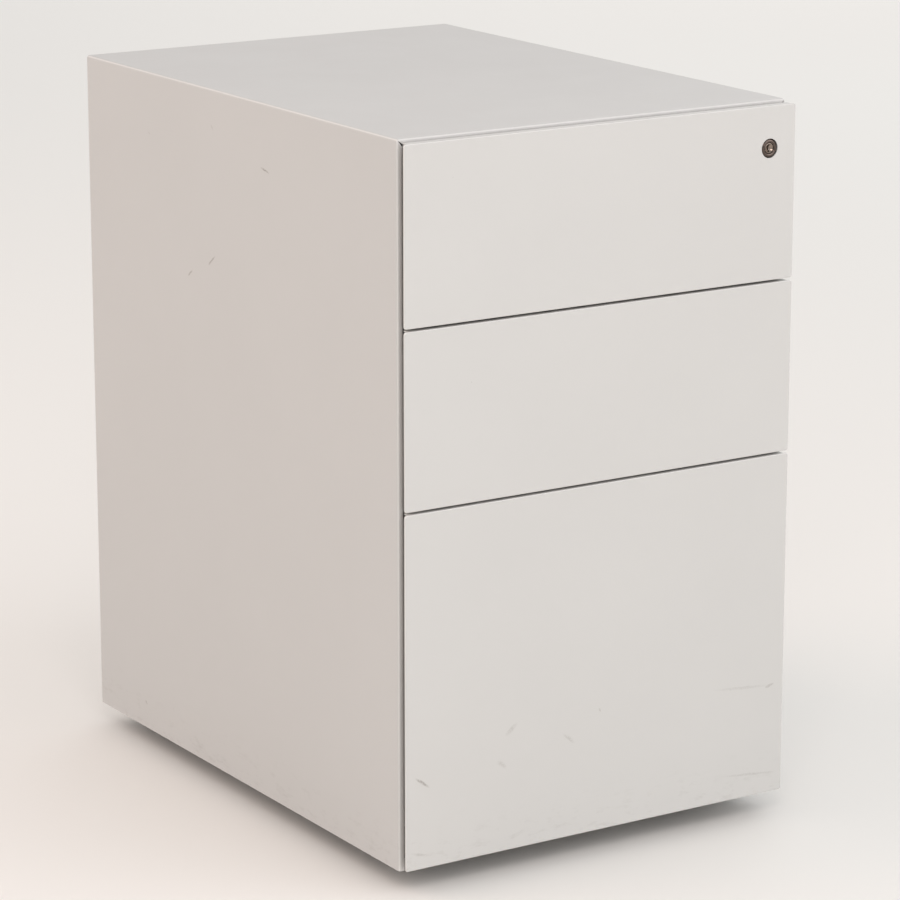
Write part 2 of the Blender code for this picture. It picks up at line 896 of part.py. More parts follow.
clear_scene()
parts = new_collection("rolling_pedestal_cabinet")
cutters = new_collection("cutters")
outer_shell()
back_panel()
base_pan()
uprights()
cabinet_slides()
counterweight()
drawers()
file_runners()
lock()
castors()
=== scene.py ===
import json
import math

import bmesh
import bpy
from mathutils import Matrix, Vector


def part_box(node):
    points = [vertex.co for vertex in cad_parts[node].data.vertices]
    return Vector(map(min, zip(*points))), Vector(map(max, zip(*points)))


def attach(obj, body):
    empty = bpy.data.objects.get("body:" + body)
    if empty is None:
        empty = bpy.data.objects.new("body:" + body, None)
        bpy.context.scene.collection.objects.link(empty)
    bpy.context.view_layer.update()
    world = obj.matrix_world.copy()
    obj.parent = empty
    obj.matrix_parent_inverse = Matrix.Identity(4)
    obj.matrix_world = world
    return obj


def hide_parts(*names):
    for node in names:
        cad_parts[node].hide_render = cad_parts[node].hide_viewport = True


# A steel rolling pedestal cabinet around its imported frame, in metres. The frame gives every place:
# most pieces here are the frame's own sheet metal, folded again with true bends and soft edges.

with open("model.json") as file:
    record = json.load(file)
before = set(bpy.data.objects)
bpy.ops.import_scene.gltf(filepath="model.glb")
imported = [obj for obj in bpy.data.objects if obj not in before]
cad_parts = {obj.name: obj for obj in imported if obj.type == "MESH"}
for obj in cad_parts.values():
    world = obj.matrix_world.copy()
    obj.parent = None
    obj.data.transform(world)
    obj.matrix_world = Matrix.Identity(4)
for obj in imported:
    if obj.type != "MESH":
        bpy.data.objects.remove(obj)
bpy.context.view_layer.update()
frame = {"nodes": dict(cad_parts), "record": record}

SIDES = {"left": -1, "right": 1}
DRAWERS = ("top", "middle", "file")
CASTORS = ("front_left", "front_right", "rear_left", "rear_right")

# Sheet metal
SHEET = 0.001
BEND_STEPS = 5
EDGE_SOFTNESS = 0.0002
SHARP_ANGLE = 40.0
RIM_ANGLE = 60.0  # only a sheet's cut rim is sharper than this
SHELL_BEND = 0.0026
FRONT_FLANGE = 0.0062
FRONT_LIP = 0.012
REAR_FLANGE = 0.012
MITRE_LENGTH = 0.0075
MITRE_WIDTH = 0.0022
INNER_BEND = 0.0016
BOX_SHEET = 0.0009
BOX_HEM = 0.0042
SLIDE_SHEET = 0.0012
SLIDE_BEND = 0.0020
RAIL_SHEET = 0.0009
RAIL_BEND = 0.0015
DENT_DEPTH = 0.0002
SHELL_DENT = (0.0028, 0.0020)  # a weld mark's radius at the surface and at its bottom
FLOOR_DENT = (0.0026, 0.0019)
SLOT_PITCH = 0.032
SLOT_HEIGHT = 0.014

# Slides
WEB_HOLES = 7
WEB_HOLE_INSET = 0.045  # from a slide member's end to its first hole
WIDE_HOLE = 0.0026
NARROW_HOLE = 0.0016
CAGE_LENGTH = 0.150
CAGE_INSET = 0.004

# Drawer fronts
FRONT_CORNER = 0.0023
FRONT_EDGE = 0.001
HEM_WIDTH = 0.0142
HEM_THICKNESS = 0.0016
RETURN_END = 0.0042  # from the front's side edge to the end of its returns

# Lock
BARREL_RADIUS = 0.0079
BORE_RADIUS = 0.0044
LOCK_HOLE = 0.0082
PLUG_RADIUS = 0.0041
KEYWAY = (0.0012, 0.0062, 0.012)
THREAD_PITCH = 0.0012
THREAD_DEPTH = 0.0004
SHOULDER_HEIGHT = 0.0025
SHOULDER_WIDTH = 0.0015
TOUCH_GAP = 0.0003  # between touching CAD pieces

# Castors
TYRE_SHOULDER = 0.0022
TYRE_BORE = 0.0148
GROOVE_DEPTH = 0.0006
AXLE_BORE = 0.0033

UNFOLDED = {
    "+X": Vector((1, 0, 0)),
    "-X": Vector((-1, 0, 0)),
    "+Y": Vector((0, 1, 0)),
    "-Y": Vector((0, -1, 0)),
    "+Z": Vector((0, 0, 1)),
    "-Z": Vector((0, 0, -1)),
}


# ---------------------------------------------------------------- camera, floor and light


LENS = 151.7
SENSOR_WIDTH = 36.0
CAMERA_PLACE = (-1.7212, -2.7518, 1.1253)
CAMERA_DIP = 14.368  # degrees below level
CAMERA_HEADING = -32.374  # degrees from +Y, to the right


def make_camera():
    """A long lens from the left of the fronts, half a metre above the cabinet's top."""
    data = bpy.data.cameras.new("camera")
    data.lens = LENS
    data.sensor_width = SENSOR_WIDTH
    data.clip_end = 100.0
    camera = bpy.data.objects.new("camera", data)
    camera.location = CAMERA_PLACE
    camera.rotation_euler = (math.radians(90 - CAMERA_DIP), 0.0, math.radians(CAMERA_HEADING))
    bpy.context.scene.collection.objects.link(camera)
    bpy.context.scene.camera = camera


# Soft boxes round the cabinet: place, size, power and colour
LIGHTS = {
    "key_front_left": ((-0.9, -1.7, 1.7), 0.8, 8.6, (1.0, 0.9, 0.86)),
    "front_top": ((0.3, -1.4, 2.4), 2.2, 2.0, (0.9, 0.97, 1.0)),
    "front_right": ((2.4, -4.1, 2.2), 4.2, 84.0, (0.99, 0.97, 1.0)),
    "left_rear": ((-2.7, 1.9, 2.4), 3.0, 42.0, (1.0, 0.72, 0.6)),
    "right_rear": ((3.2, 1.7, 2.2), 3.0, 5.5, (0.7, 0.95, 1.0)),
}
LIGHT_TARGET = (0.0, 0.0, 0.3)
SKY = (0.63, 0.63, 0.63)
WASH_PLACE = 6.0  # how far out, each way, the four lights over the far floor hang
WASH_HEIGHT = 3.5
WASH_SIZE = 7.0
WASH_POWER = 114.0
WASH_COLOUR = (1.0, 0.995, 0.984)
FLOOR_COLOUR = (0.86, 0.84, 0.81, 1.0)
FLOOR_ROUGHNESS = 0.7
FLOOR_REACH = 30.0


def soft_box(name, place, size, power, colour, target):
    data = bpy.data.lights.new(name, "AREA")
    data.shape = "SQUARE"
    data.size = size
    data.energy = power
    data.color = colour
    lamp = bpy.data.objects.new(name, data)
    lamp.location = place
    lamp.rotation_mode = "QUATERNION"
    lamp.rotation_quaternion = (Vector(place) - Vector(target)).to_track_quat("Z", "Y")
    lamp.visible_camera = False
    bpy.context.scene.collection.objects.link(lamp)


def make_light():
    for name, (place, size, power, colour) in LIGHTS.items():
        soft_box(name, place, size, power, colour, LIGHT_TARGET)
    for x in (-WASH_PLACE, WASH_PLACE):
        for y in (-WASH_PLACE, WASH_PLACE):
            place = (x, y, WASH_HEIGHT)
            soft_box("floor_wash", place, WASH_SIZE, WASH_POWER, WASH_COLOUR, (x, y, 0.0))
    world = bpy.data.worlds.new("studio")
    world.use_nodes = True
    sky = world.node_tree.nodes["Background"]
    sky.inputs["Color"].default_value = (*SKY, 1.0)
    sky.inputs["Strength"].default_value = 1.0
    bpy.context.scene.world = world
    bpy.context.scene.view_settings.view_transform = "Standard"


def make_floor():
    mesh = bpy.data.meshes.new("floor")
    bm = bmesh.new()
    bmesh.ops.create_grid(bm, x_segments=1, y_segments=1, size=FLOOR_REACH)
    bm.to_mesh(mesh)
    bm.free()
    floor = bpy.data.objects.new("floor", mesh)
    bpy.context.scene.collection.objects.link(floor)
    made = bpy.data.materials.new("floor")
    made.use_nodes = True
    shader = made.node_tree.nodes["Principled BSDF"]
    shader.inputs["Base Color"].default_value = FLOOR_COLOUR
    shader.inputs["Roughness"].default_value = FLOOR_ROUGHNESS
    mesh.materials.append(made)


# ---------------------------------------------------------------- materials


class Shader:
    """A Principled material with a few words for adding nodes to it."""

    def __init__(self, name, colour, roughness, metallic=0.0):
        self.material = bpy.data.materials.new(name)
        self.material.use_nodes = True
        self.tree = self.material.node_tree
        self.shader = self.tree.nodes["Principled BSDF"]
        self.colour = (*colour, 1.0)
        self.set("Base Color", self.colour)
        self.set("Roughness", roughness)
        self.set("Metallic", metallic)
        self.place = self.add("ShaderNodeTexCoord").outputs["Object"]

    def set(self, socket, value):
        self.shader.inputs[socket].default_value = value

    def link(self, output, socket):
        self.tree.links.new(output, self.shader.inputs[socket])

    def add(self, kind, inputs=None, **settings):
        node = self.tree.nodes.new(kind)
        for key, value in settings.items():
            setattr(node, key, value)
        for key, value in (inputs or {}).items():
            if isinstance(value, bpy.types.NodeSocket):
                self.tree.links.new(value, node.inputs[key])
            else:
                node.inputs[key].default_value = value
        return node

    def noise(self, scale, detail=2.0, rough=0.5, stretch=(1, 1, 1)):
        place = self.place
        if stretch != (1, 1, 1):
            place = self.add("ShaderNodeMapping", {"Vector": place, "Scale": stretch}).outputs[0]
        wanted = {"Vector": place, "Scale": scale, "Detail": detail, "Roughness": rough}
        return self.add("ShaderNodeTexNoise", wanted).outputs["Fac"]

    def specks(self, scale, size):
        """1 in small dots scattered about one to a cell, 0 elsewhere."""
        dots = self.add("ShaderNodeTexVoronoi", {"Vector": self.place, "Scale": scale})
        return self.span(dots.outputs["Distance"], size * 0.5, size, 1.0, 0.0)

    def fold_highlight_mask(self, low, high):
        """1 on bends and rounded edges, which face none of the three axes, 0 on flats; it places the painted
        highlight on bends.
        """
        normal = self.add("ShaderNodeNewGeometry").outputs["Normal"]
        size = self.add("ShaderNodeVectorMath", {0: normal}, operation="ABSOLUTE").outputs[0]
        parts = self.add("ShaderNodeSeparateXYZ", {0: size})
        most = self.maths("MAXIMUM", parts.outputs["X"], parts.outputs["Y"])
        most = self.maths("MAXIMUM", most, parts.outputs["Z"])
        return self.span(self.maths("SUBTRACT", 1.0, most), low, high, 0.0, 1.0)

    def span(self, value, low, high, to_low, to_high):
        wanted = {0: value, 1: low, 2: high, 3: to_low, 4: to_high}
        return self.add("ShaderNodeMapRange", wanted, clamp=True).outputs[0]

    def maths(self, operation, a, b=0.0):
        return self.add("ShaderNodeMath", {0: a, 1: b}, operation=operation).outputs[0]

    def mix(self, share, a, b):
        node = self.add("ShaderNodeMix", {"Factor": share}, data_type="RGBA")
        for socket, value in ((node.inputs[6], a), (node.inputs[7], b)):
            if isinstance(value, bpy.types.NodeSocket):
                self.tree.links.new(value, socket)
            else:
                socket.default_value = value
        return node.outputs[2]

    def bump(self, height, strength, distance):
        wanted = {"Height": height, "Strength": strength, "Distance": distance}
        self.link(self.add("ShaderNodeBump", wanted).outputs[0], "Normal")


def shade(colour, factor):
    return (*[channel * factor for channel in colour[:3]], 1.0)


RAGGEDNESS = 0.0016


def rubbed(made, marks):
    """How far each point lies inside one of the marks: (start, end, width, strength)."""
    ragged = made.add("ShaderNodeTexNoise", {"Vector": made.place, "Scale": 260.0, "Detail": 2.0})
    centred = {0: ragged.outputs["Color"], 1: (0.5, 0.5, 0.5)}
    drift = made.add("ShaderNodeVectorMath", centred, operation="SUBTRACT")
    pushed = {0: drift.outputs[0], 1: (RAGGEDNESS, RAGGEDNESS, RAGGEDNESS), 2: made.place}
    place = made.add("ShaderNodeVectorMath", pushed, operation="MULTIPLY_ADD").outputs[0]
    total = None
    for start, end, width, strength in marks:
        start, end = Vector(start), Vector(end)
        wanted = {
            "Vector": place,
            "Location": (start + end) / 2,
            "Rotation": (end - start).to_track_quat("X", "Z").to_euler(),
            "Scale": ((end - start).length / 2, width / 2, width / 2),
        }
        local = made.add("ShaderNodeMapping", wanted, vector_type="TEXTURE").outputs[0]
        far = made.add("ShaderNodeVectorMath", {0: local}, operation="LENGTH").outputs["Value"]
        amount = made.span(far, 0.4, 1.0, strength, 0.0)
        total = amount if total is None else made.maths("MAXIMUM", total, amount)
    return made.maths("MULTIPLY", total, made.span(made.noise(700.0, 2.0), 0.35, 0.55, 0.35, 1.0))


# Rubbed and chipped places in the paint: start, end, width and strength
SHELL_MARKS = (
    ((-0.19, 0.0416, 0.5955), (-0.19, 0.0381, 0.5908), 0.0020, 0.35),
    ((-0.19, -0.0424, 0.5718), (-0.19, -0.0578, 0.5682), 0.0024, 0.7),
    ((-0.19, 0.0510, 0.4719), (-0.19, 0.0366, 0.4834), 0.0022, 0.6),
    ((-0.19, 0.0874, 0.4565), (-0.19, 0.0782, 0.4635), 0.0022, 0.6),
    ((-0.19, 0.1830, 0.0450), (-0.19, 0.1790, 0.0412), 0.0030, 0.4),
    ((-0.19, 0.1550, 0.5731), (-0.19, 0.1520, 0.5709), 0.0020, 0.3),
    ((-0.19, 0.2715, 0.4780), (-0.19, 0.2715, 0.4720), 0.0026, 0.9),
    ((0.19, -0.1200, 0.2400), (0.19, -0.1010, 0.2440), 0.0024, 0.5),
    ((0.19, 0.0700, 0.3900), (0.19, 0.0830, 0.3820), 0.0024, 0.5),
    ((0.19, 0.1900, 0.1000), (0.19, 0.1650, 0.0920), 0.0030, 0.4),
)
FRONT_MARKS = (
    ((-0.0953, -0.2715, 0.1220), (-0.0825, -0.2715, 0.1324), 0.0050, 0.22),
    ((-0.0377, -0.2715, 0.1144), (-0.0255, -0.2715, 0.1037), 0.0040, 0.22),
    ((-0.1031, -0.2715, 0.1023), (-0.0932, -0.2715, 0.0946), 0.0050, 0.2),
    ((-0.1826, -0.2715, 0.1024), (-0.1682, -0.2715, 0.0914), 0.0030, 0.6),
    ((0.1161, -0.2715, 0.1249), (0.1797, -0.2715, 0.1193), 0.0034, 0.16),
    ((0.1712, -0.2715, 0.1181), (0.1818, -0.2715, 0.1207), 0.0030, 0.4),
    ((-0.0015, -0.2715, 0.1303), (0.0005, -0.2715, 0.1265), 0.0022, 0.35),
    ((-0.1874, -0.2715, 0.0381), (-0.1681, -0.2715, 0.0327), 0.0030, 0.22),
    ((0.1243, -0.2715, 0.0457), (0.1883, -0.2715, 0.0394), 0.0026, 0.2),
)
GRIME = (0.20, 0.175, 0.15, 1.0)
PAINT_ROUGHNESS = 0.42
SCUFF_HEIGHT = 0.045


def powder_coat(name, colour, marks=(), low_edge=None):
    """Satin powder coat: orange peel, faint clouding and smudges, specks, marks, dirt at the foot, and a
    painted highlight on bends.
    """
    made = Shader(name, colour, PAINT_ROUGHNESS)
    clouds = made.noise(7.0, 4.0)
    tone = made.mix(made.span(clouds, 0.35, 0.65, 0.0, 1.0), shade(colour, 0.992), shade(colour, 1.008))
    grain = made.noise(1400.0, 1.0)
    tone = made.mix(made.span(grain, 0.3, 0.7, 0.0, 0.3), tone, shade(colour, 0.95))
    dust = made.maths("MULTIPLY", made.specks(38.0, 0.020), made.span(made.noise(9.0), 0.5, 0.6, 0.0, 0.35))
    tone = made.mix(dust, tone, GRIME)
    # Painted highlight: bends and rounded edges are lightened to stand in for the light they catch.
    tone = made.mix(made.fold_highlight_mask(0.06, 0.26), tone, shade(colour, 1.3))
    smudge = made.noise(18.0, 4.0, 0.6)
    gloss = made.span(smudge, 0.35, 0.7, PAINT_ROUGHNESS - 0.015, PAINT_ROUGHNESS + 0.03)
    if marks:
        worn = rubbed(made, marks)
        tone = made.mix(worn, tone, GRIME)
        gloss = made.maths("ADD", gloss, made.maths("MULTIPLY", worn, 0.2))
    if low_edge is not None:
        height = made.add("ShaderNodeSeparateXYZ", {0: made.place}).outputs["Z"]
        near = made.span(height, low_edge, low_edge + SCUFF_HEIGHT, 1.0, 0.0)
        streaks = made.span(made.noise(55.0, 5.0, 0.65, (1.0, 1.0, 3.0)), 0.54, 0.74, 0.0, 0.22)
        tone = made.mix(made.maths("MULTIPLY", near, streaks), tone, GRIME)
    made.link(tone, "Base Color")
    made.link(gloss, "Roughness")
    made.set("Specular IOR Level", 0.4)
    made.bump(made.noise(1100.0, 2.0), 0.12, 0.0004)
    return made.material


def zinc_plate(name):
    """Bright zinc on rolled steel: streaks along the strip, clouding and small dull spots."""
    colour = (0.58, 0.59, 0.60)
    made = Shader(name, colour, 0.32, 1.0)
    streak = made.noise(60.0, 3.0, 0.6, (9, 0.6, 9))
    made.link(made.span(streak, 0.3, 0.7, 0.26, 0.44), "Roughness")
    cloud = made.span(made.noise(24.0, 3.0), 0.3, 0.7, 0.0, 1.0)
    tone = made.mix(cloud, shade(colour, 0.86), shade(colour, 1.05))
    tone = made.mix(made.maths("MULTIPLY", made.specks(140.0, 0.12), 0.4), tone, shade(colour, 0.55))
    made.link(tone, "Base Color")
    made.bump(streak, 0.08, 0.0003)
    return made.material


def plated(name, colour, roughness):
    """A small plated or polished piece with a faintly uneven finish."""
    grain = 420.0
    made = Shader(name, colour, roughness, 1.0)
    cloud = made.noise(grain, 3.0)
    made.link(made.span(cloud, 0.3, 0.7, roughness - 0.04, roughness + 0.1), "Roughness")
    made.link(made.mix(cloud, shade(colour, 0.8), shade(colour, 1.2)), "Base Color")
    made.bump(made.noise(grain * 6.0), 0.05, 0.0002)
    return made.material


def moulded_plastic(name, colour, roughness):
    made = Shader(name, colour, roughness)
    grain = made.noise(1500.0, 2.0)
    made.bump(grain, 0.2, 0.0004)
    dust = made.span(made.noise(30.0, 4.0, 0.6), 0.5, 0.75, 0.0, 0.35)
    made.link(made.mix(dust, made.colour, (0.16, 0.15, 0.14, 1.0)), "Base Color")
    made.link(made.span(grain, 0.3, 0.7, roughness - 0.05, roughness + 0.1), "Roughness")
    return made.material


def rough_casting(name):
    colour = (0.11, 0.11, 0.115)
    made = Shader(name, colour, 0.65)
    lumps = made.noise(500.0, 4.0, 0.7)
    made.link(made.mix(lumps, shade(colour, 0.6), shade(colour, 1.5)), "Base Color")
    made.link(made.span(lumps, 0.3, 0.7, 0.55, 0.8), "Roughness")
    made.bump(lumps, 0.5, 0.001)
    return made.material


SHELL_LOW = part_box("outer_shell")[0].z
FRONT_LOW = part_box("file_front_skin")[0].z
MATERIALS = {
    "shell_paint": powder_coat("shell_paint", (0.56, 0.552, 0.538), SHELL_MARKS, SHELL_LOW),
    "front_paint": powder_coat("front_paint", (0.575, 0.567, 0.548), FRONT_MARKS, FRONT_LOW),
    "inner_paint": powder_coat("inner_paint", (0.54, 0.532, 0.515)),
    "zinc_steel": zinc_plate("zinc_steel"),
    "lock_metal": plated("lock_metal", (0.105, 0.082, 0.071), 0.15),
    "plug_metal": plated("plug_metal", (0.27, 0.22, 0.185), 0.17),
    "polished_steel": plated("polished_steel", (0.66, 0.66, 0.67), 0.16),
    "brass_cage": plated("brass_cage", (0.52, 0.50, 0.46), 0.36),
    "castor_plastic": moulded_plastic("castor_plastic", (0.018, 0.018, 0.019), 0.42),
    "wheel_tread": moulded_plastic("wheel_tread", (0.055, 0.055, 0.057), 0.6),
    "cast_iron": rough_casting("cast_iron"),
}


def dress_nodes():
    """Gives each CAD node the material of its slot."""
    for row in frame["record"]["subparts"]:
        mesh = frame["nodes"][row["node"]].data
        mesh.materials.clear()
        mesh.materials.append(MATERIALS[row["material_slot"]])


# ---------------------------------------------------------------- building pieces


def box_mesh(low, high, bm=None):
    """A box from low to high, added to bm or to a new bmesh."""
    bm = bm or bmesh.new()
    low, high = Vector(low), Vector(high)
    placed = Matrix.Translation((low + high) / 2) @ Matrix.Diagonal((*(high - low), 1.0))
    bmesh.ops.create_cube(bm, size=1.0, matrix=placed)
    return bm


def rod_mesh(start, end, radius, steps=32, bm=None, end_radius=None):
    """A cylinder or cone between two points."""
    bm = bm or bmesh.new()
    start, end = Vector(start), Vector(end)
    along = end - start
    turned = along.to_track_quat("Z", "Y").to_matrix().to_4x4()
    bmesh.ops.create_cone(
        bm,
        cap_ends=True,
        segments=steps,
        radius1=radius,
        radius2=radius if end_radius is None else end_radius,
        depth=along.length,
        matrix=Matrix.Translation((start + end) / 2) @ turned,
    )
    return bm


def lathe_mesh(profile, centre=(0, 0, 0), axis=(0, 0, 1), steps=48):
    """Turns (radius, height) points about the axis through centre."""
    bm = bmesh.new()
    points = [bm.verts.new((radius, 0, height)) for radius, height in profile]
    edges = [bm.edges.new(pair) for pair in zip(points, points[1:])]
    if profile[0][0] > 0 or profile[-1][0] > 0:
        edges.append(bm.edges.new((points[-1], points[0])))
    bmesh.ops.spin(
        bm,
        geom=points + edges,
        cent=(0, 0, 0),
        axis=(0, 0, 1),
        angle=math.tau,
        steps=steps,
        use_merge=True,
    )
    bmesh.ops.remove_doubles(bm, verts=bm.verts, dist=1e-6)
    bmesh.ops.recalc_face_normals(bm, faces=bm.faces)
    turned = Vector(axis).to_track_quat("Z", "Y").to_matrix().to_4x4()
    bm.transform(Matrix.Translation(Vector(centre)) @ turned)
    return bm


def new_object(name, bm):
    mesh = bpy.data.meshes.new(name)
    bm.to_mesh(mesh)
    bm.free()
    obj = bpy.data.objects.new(name, mesh)
    bpy.context.scene.collection.objects.link(obj)
    return obj


def add_bevel(obj, width, segments, angle=SHARP_ANGLE):
    bevel = obj.modifiers.new("bevel", "BEVEL")
    bevel.width = width
    bevel.segments = segments
    bevel.limit_method = "ANGLE"
    bevel.angle_limit = math.radians(angle)


def add_solidify(obj, thickness):
    sheet = obj.modifiers.new("sheet", "SOLIDIFY")
    sheet.thickness = thickness
    sheet.offset = -1.0
    sheet.use_even_offset = True


def settle(obj):
    """Applies the object's modifiers."""
    graph = bpy.context.evaluated_depsgraph_get()
    made = bpy.data.meshes.new_from_object(obj.evaluated_get(graph))
    drawn = obj.data
    obj.modifiers.clear()
    obj.data = made
    bpy.data.meshes.remove(drawn)


def carve(obj, bm):
    """Cuts the closed shapes in bm out of the object."""
    cutter = new_object("cutter", bm)
    boolean = obj.modifiers.new("cut", "BOOLEAN")
    boolean.operation = "DIFFERENCE"
    boolean.object = cutter
    settle(obj)
    bpy.data.objects.remove(cutter)


def piece(obj, body, slot, stands_for=(), material=None):
    """Gives a finished shape its material and shading, hangs it on its body, and hides the CAD nodes it
    stands for.
    """
    mesh = obj.data
    mesh.materials.clear()
    mesh.materials.append(MATERIALS[material or slot])
    mesh.shade_smooth()
    mesh.set_sharp_from_angle(angle=math.radians(SHARP_ANGLE))
    normals = obj.modifiers.new("normals", "WEIGHTED_NORMAL")
    normals.keep_sharp = True
    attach(obj, body)
    if stands_for:
        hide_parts(*stands_for)
    return obj


def body_of(node):
    """The body that a CAD node belongs to."""
    bodies = frame["record"]["behaviour"]["bodies"]
    return next(name for name, members in bodies.items() if node in members)


def slot_of(node):
    rows = frame["record"]["subparts"]
    return next(row["material_slot"] for row in rows if row["node"] == node)


def refit(obj, node):
    """The piece stands for one CAD node, with its body and its slot."""
    return piece(obj, body_of(node), slot_of(node), (node,))


def folded(name, low, high, open_sides, thickness=SHEET, bend=INNER_BEND):
    """Sheet metal folded round the box from low to high, which lacks its open sides."""
    bm = box_mesh(low, high)
    gone = [f for f in bm.faces if any(f.normal.dot(UNFOLDED[side]) > 0.9 for side in open_sides)]
    bmesh.ops.delete(bm, geom=gone, context="FACES")
    obj = new_object(name, bm)
    add_bevel(obj, bend, BEND_STEPS)
    add_solidify(obj, thickness)
    add_bevel(obj, EDGE_SOFTNESS, 2, RIM_ANGLE)
    settle(obj)
    return obj


def scatter(name, template, places, body, slot):
    """One piece made of a copy of the template at each (point, outward direction, scale)."""
    bm = bmesh.new()
    for point, outward, scale in places:
        turned = Vector(outward).to_track_quat("Z", "Y").to_matrix().to_4x4()
        placed = Matrix.Translation(Vector(point)) @ turned @ Matrix.Scale(scale, 4)
        copy = template.copy()
        copy.transform(placed)
        bm.from_mesh(copy)
        bpy.data.meshes.remove(copy)
    piece(new_object(name, bm), body, slot)


def take_mesh(obj):
    """The object's mesh, without the object."""
    mesh = obj.data
    bpy.data.objects.remove(obj)
    return mesh


def arc(centre, radius, start, end, steps):
    """Points on an arc, in degrees; radius may be one number or (across, up)."""
    across, up = radius if isinstance(radius, tuple) else (radius, radius)
    turns = [math.radians(start + (end - start) * i / steps) for i in range(steps + 1)]
    return [(centre[0] + across * math.cos(t), centre[1] + up * math.sin(t)) for t in turns]


def screw_template():
    """A pan head of 3 mm radius with a cross recess, standing on its own origin."""
    dome = [(0.0, 0.0017)] + arc((0.0016, 0.0004), (0.0014, 0.0012), 80, 0, 5) + [(0.0030, 0.0)]
    obj = new_object("screw", lathe_mesh([*dome, (0.0, 0.0)], steps=24))
    for width, length in ((0.0007, 0.0030), (0.0030, 0.0007)):
        slot = box_mesh((-width / 2, -length / 2, 0.0007), (width / 2, length / 2, 0.003))
        for v in slot.verts:
            if v.co.z < 0.001:
                v.co.xy *= 0.6
        carve(obj, slot)
    return take_mesh(obj)


def bolt_template():
    """A hexagon head, 8 mm across its flats, on a washer."""
    bm = rod_mesh((0, 0, 0.0010), (0, 0, 0.0040), 0.0046, steps=6)
    obj = new_object("bolt", bm)
    add_bevel(obj, 0.0003, 2)
    settle(obj)
    washer = [(0.0, 0.0), (0.0060, 0.0), (0.0062, 0.0002), (0.0062, 0.0008), (0.0060, 0.0010), (0.0, 0.0010)]
    bm = lathe_mesh(washer, steps=32)
    bm.from_mesh(take_mesh(obj))
    return take_mesh(new_object("bolt", bm))


# ---------------------------------------------------------------- carcass


def fold_edges(bm, edges, shift):
    """Extrudes these boundary edges and moves the new points by shift(point). Returns the new rim."""
    made = bmesh.ops.extrude_edge_only(bm, edges=edges)["geom"]
    points = {v for v in made if isinstance(v, bmesh.types.BMVert)}
    for point in points:
        point.co += shift(point.co)
    new_edges = [e for e in made if isinstance(e, bmesh.types.BMEdge)]
    return [e for e in new_edges if e.verts[0] in points and e.verts[1] in points]


def rim_at(bm, y):
    """The boundary edges in the plane at this y."""
    return [e for e in bm.edges if e.is_boundary and all(abs(v.co.y - y) < 1e-6 for v in e.verts)]


def outer_shell():
    """Top and both sides, folded from one sheet, with a flange and a lip round the opening."""
    low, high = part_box("outer_shell")
    middle_z = (low.z + high.z) / 2
    bm = box_mesh(low, high)
    gone = [f for f in bm.faces if abs(f.normal.y) > 0.9 or f.normal.z < -0.9]
    bmesh.ops.delete(bm, geom=gone, context="FACES")

    def inward(width):
        def shift(point):
            down = -width if point.z > middle_z else 0.0
            return Vector((-math.copysign(width, point.x), 0.0, down))

        return shift

    flange = fold_edges(bm, rim_at(bm, low.y), inward(FRONT_FLANGE))
    fold_edges(bm, flange, lambda point: Vector((0.0, FRONT_LIP, 0.0)))
    fold_edges(bm, rim_at(bm, high.y), inward(REAR_FLANGE))
    bmesh.ops.recalc_face_normals(bm, faces=bm.faces)
    obj = new_object("outer_shell_sheet", bm)
    add_bevel(obj, SHELL_BEND, BEND_STEPS)
    add_solidify(obj, SHEET)
    add_bevel(obj, EDGE_SOFTNESS, 2, RIM_ANGLE)
    settle(obj)
    for sign in SIDES.values():
        carve(obj, mitre_notch(sign, low.y, high))
    carve(obj, rear_weld_marks(low, high))
    refit(obj, "outer_shell")


def mitre_notch(sign, front_y, high):
    """A wedge between the flanges of the top and of one side, pointing at the shell's corner."""
    outward = Vector((sign, 0, 1)).normalized()
    along = Vector((0, 1, 0))
    across = outward.cross(along)
    tip = Vector((sign * (high.x - SHEET), front_y + FRONT_LIP / 2, high.z - SHEET))
    centre = tip - outward * MITRE_LENGTH * 2 / 3
    # a three-sided cone of radius 1 points along its own +Y, is 1.5 long and is sqrt(3) wide
    sizes = (across * MITRE_WIDTH / math.sqrt(3), outward * MITRE_LENGTH / 1.5, along)
    turn = Matrix(sizes).transposed().to_4x4()
    bm = bmesh.new()
    bmesh.ops.create_cone(
        bm,
        cap_ends=True,
        segments=3,
        radius1=1.0,
        radius2=1.0,
        depth=FRONT_LIP + 0.002,
        matrix=Matrix.Translation(centre) @ turn,
    )
    return bm


def rear_weld_marks(low, high):
    """Shallow round dents in the rear flange, where it is spot welded to the back panel."""
    bm = bmesh.new()
    middle = REAR_FLANGE / 2 + SHEET / 2
    spots = [(x, high.z - middle) for x in (-0.125, 0.0, 0.125)]
    rows = 6
    for row in range(rows):
        z = low.z + 0.030 + (high.z - low.z - 0.075) * row / (rows - 1)
        spots += [(sign * (high.x - middle), z) for sign in SIDES.values()]
    for x, z in spots:
        dent = (Vector((x, high.y + DENT_DEPTH, z)), Vector((x, high.y - DENT_DEPTH, z)))
        rod_mesh(*dent, SHELL_DENT[0], 24, bm, end_radius=SHELL_DENT[1])
    return bm


def back_panel():
    """The pan that closes the back, recessed behind the shell's rear flange."""
    low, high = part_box("back_panel")
    obj = folded("back_panel_sheet", low, high, ("-Y",))
    refit(obj, "back_panel")


def base_pan():
    low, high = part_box("base_pan")
    refit(folded("base_pan_sheet", low, high, ("+Z", "-Y")), "base_pan")


